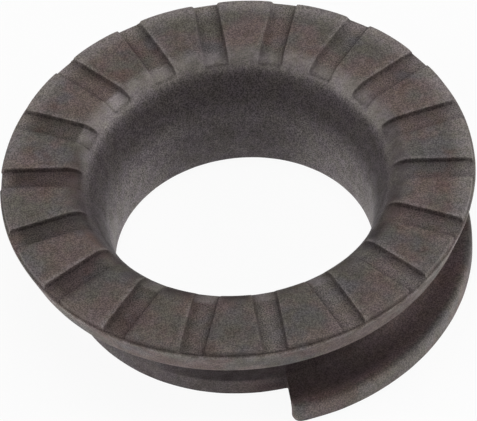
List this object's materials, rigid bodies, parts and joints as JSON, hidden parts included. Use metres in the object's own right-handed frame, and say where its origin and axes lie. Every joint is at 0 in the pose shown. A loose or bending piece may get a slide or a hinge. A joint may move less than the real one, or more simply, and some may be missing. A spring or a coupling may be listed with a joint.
{
  "type": "coil spring pad",
  "caption": "Moulded rubber ring that seats a coil spring: grooved flange on top, neck inside the coil, and a half-round lip that holds the wire in a cupped channel.",
  "frame": {"origin": "on the ring's axis, at the level of the foot", "axes": "+Z along the ring's axis, from the foot to the grooved top; the middle of the lip is 8.5 degrees round from +X towards +Y"},
  "size_m": [0.15, 0.15, 0.0397],
  "materials": {
    "rubber": "matt, as moulded"
  },
  "bodies": {
    "root": {"spring_pad": "rubber"}
  },
  "joints": []
}
